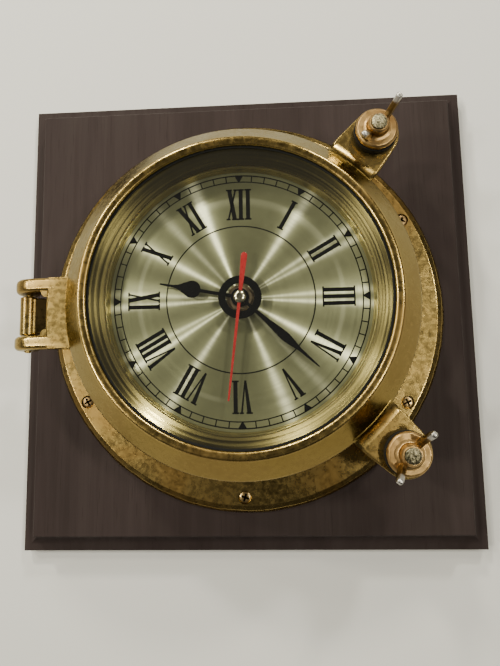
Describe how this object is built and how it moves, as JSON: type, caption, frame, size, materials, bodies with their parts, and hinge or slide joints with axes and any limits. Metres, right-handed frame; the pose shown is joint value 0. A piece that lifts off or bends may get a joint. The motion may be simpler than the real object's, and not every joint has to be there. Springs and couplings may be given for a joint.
{
  "type": "ship's deck clock",
  "caption": "Quartz clock in a polished brass port-light case with a hinged glazed door and wing-screw dogs, on a moulded dark wood board, with its hands, wheel train and motor as moving parts.",
  "frame": {"origin": "centre of the wooden board's back face", "axes": "+Z out of the dial, +Y to 12 o'clock, +X to 3 o'clock; the clock lies on its back and is hung with +Y up"},
  "size_m": [0.254, 0.259, 0.0794],
  "materials": {
    "wood": "dark stained, satin lacquer",
    "steel": "plain",
    "case_brass": "cast, turned and polished",
    "dog_brass": "worn, partly tarnished",
    "dial_brass": "spun, with printed black numerals",
    "ring_brass": "brushed",
    "glass": "clear",
    "rubber": "matte black",
    "black_paint": "gloss black",
    "red_paint": "gloss red",
    "black_plastic": "moulded",
    "white_plastic": "moulded",
    "copper": "enamelled copper wire",
    "board_green": "solder mask",
    "battery_sleeve": "plain sleeve"
  },
  "bodies": {
    "base": {"plaque": "wood", "hanger_plate": "steel", "hanger_screw_top": "steel", "hanger_screw_bottom": "steel", "base_ring": "case_brass", "flange_screw_1": "dog_brass", "flange_screw_2": "dog_brass", "flange_screw_3": "dog_brass", "flange_screw_4": "dog_brass", "flange_screw_5": "dog_brass", "flange_screw_6": "dog_brass", "hinge_pin": "case_brass", "dial_plate": "dial_brass", "dial_ring": "ring_brass", "movement_washer": "rubber", "centre_washer": "ring_brass", "centre_nut": "ring_brass", "front_case": "black_plastic", "rear_case": "black_plastic", "middle_plate": "white_plastic", "circuit_board": "board_green", "crystal_can": "steel", "stator": "steel", "coil": "copper", "battery": "battery_sleeve", "contact_negative": "steel", "contact_positive": "steel"},
    "door": {"door_ring": "case_brass", "glass": "glass", "glass_gasket": "rubber", "reflector_ring": "ring_brass", "snap_ring": "steel"},
    "upper_dog_carrier": {"dog_washer_upper": "rubber"},
    "upper_dog_screw": {"wing_head_upper": "dog_brass", "dog_rod_upper": "steel"},
    "lower_dog_carrier": {"dog_washer_lower": "rubber"},
    "lower_dog_screw": {"wing_head_lower": "dog_brass", "dog_rod_lower": "steel"},
    "second_arbor": {"second_wheel": "white_plastic", "second_hand": "red_paint", "second_hand_cap": "steel"},
    "minute_arbor": {"minute_wheel": "white_plastic", "minute_hand": "black_paint"},
    "hour_arbor": {"hour_wheel": "white_plastic", "hour_hand": "black_paint"},
    "third_arbor": {"third_wheel": "white_plastic"},
    "step_arbor": {"step_wheel": "white_plastic"},
    "motion_arbor": {"motion_wheel": "white_plastic", "set_knob": "white_plastic"},
    "rotor_arbor": {"rotor": "steel"}
  },
  "joints": [
    {"name": "second_turn", "type": "hinge", "parent": "base", "child": "second_arbor", "pos_m": [0, 0, 0.0416], "axis": [0, 0, -1], "continuous": true},
    {"name": "minute_turn", "type": "hinge", "parent": "base", "child": "minute_arbor", "pos_m": [0, 0, 0.048], "axis": [0, 0, -1], "continuous": true},
    {"name": "hour_turn", "type": "hinge", "parent": "base", "child": "hour_arbor", "pos_m": [0, 0, 0.053], "axis": [0, 0, -1], "continuous": true},
    {"name": "third_turn", "type": "hinge", "parent": "base", "child": "third_arbor", "pos_m": [-0.00808, -0.00142, 0.0425], "axis": [0, 0, -1], "continuous": true},
    {"name": "step_turn", "type": "hinge", "parent": "base", "child": "step_arbor", "pos_m": [0.00827, -0.00146, 0.0425], "axis": [0, 0, -1], "continuous": true},
    {"name": "motion_turn", "type": "hinge", "parent": "base", "child": "motion_arbor", "pos_m": [0, 0.01, 0.0416], "axis": [0, 0, -1], "continuous": true},
    {"name": "rotor_turn", "type": "hinge", "parent": "base", "child": "rotor_arbor", "pos_m": [0.01358, 0.00226, 0.0425], "axis": [0, 0, -1], "continuous": true},
    {"name": "door_hinge", "type": "hinge", "parent": "base", "child": "door", "pos_m": [-0.107, -0.00435, 0.05], "axis": [0, -1, 0], "range_deg": [0, 170]},
    {"name": "upper_dog_lift", "type": "slide", "parent": "door", "child": "upper_dog_carrier", "axis": [0, 0, 1], "range_m": [0, 0.007]},
    {"name": "upper_dog_turn", "type": "hinge", "parent": "upper_dog_carrier", "child": "upper_dog_screw", "pos_m": [0.06589, 0.07852, 0.061], "axis": [0, 0, 1], "range_deg": [0, 1980]},
    {"name": "lower_dog_lift", "type": "slide", "parent": "door", "child": "lower_dog_carrier", "axis": [0, 0, 1], "range_m": [0, 0.007]},
    {"name": "lower_dog_turn", "type": "hinge", "parent": "lower_dog_carrier", "child": "lower_dog_screw", "pos_m": [0.07311, -0.07184, 0.061], "axis": [0, 0, 1], "range_deg": [0, 1980]}
  ],
  "couplings": [
    {"joint": "minute_turn", "follows": "second_turn", "ratio": 0.016667},
    {"joint": "hour_turn", "follows": "second_turn", "ratio": 0.0013889},
    {"joint": "third_turn", "follows": "second_turn", "ratio": -0.125},
    {"joint": "motion_turn", "follows": "second_turn", "ratio": -0.0055556},
    {"joint": "step_turn", "follows": "second_turn", "ratio": -6},
    {"joint": "rotor_turn", "follows": "second_turn", "ratio": 30},
    {"joint": "upper_dog_lift", "follows": "upper_dog_turn", "m_per_rad": 0.00020213},
    {"joint": "lower_dog_lift", "follows": "lower_dog_turn", "m_per_rad": 0.00020213}
  ]
}
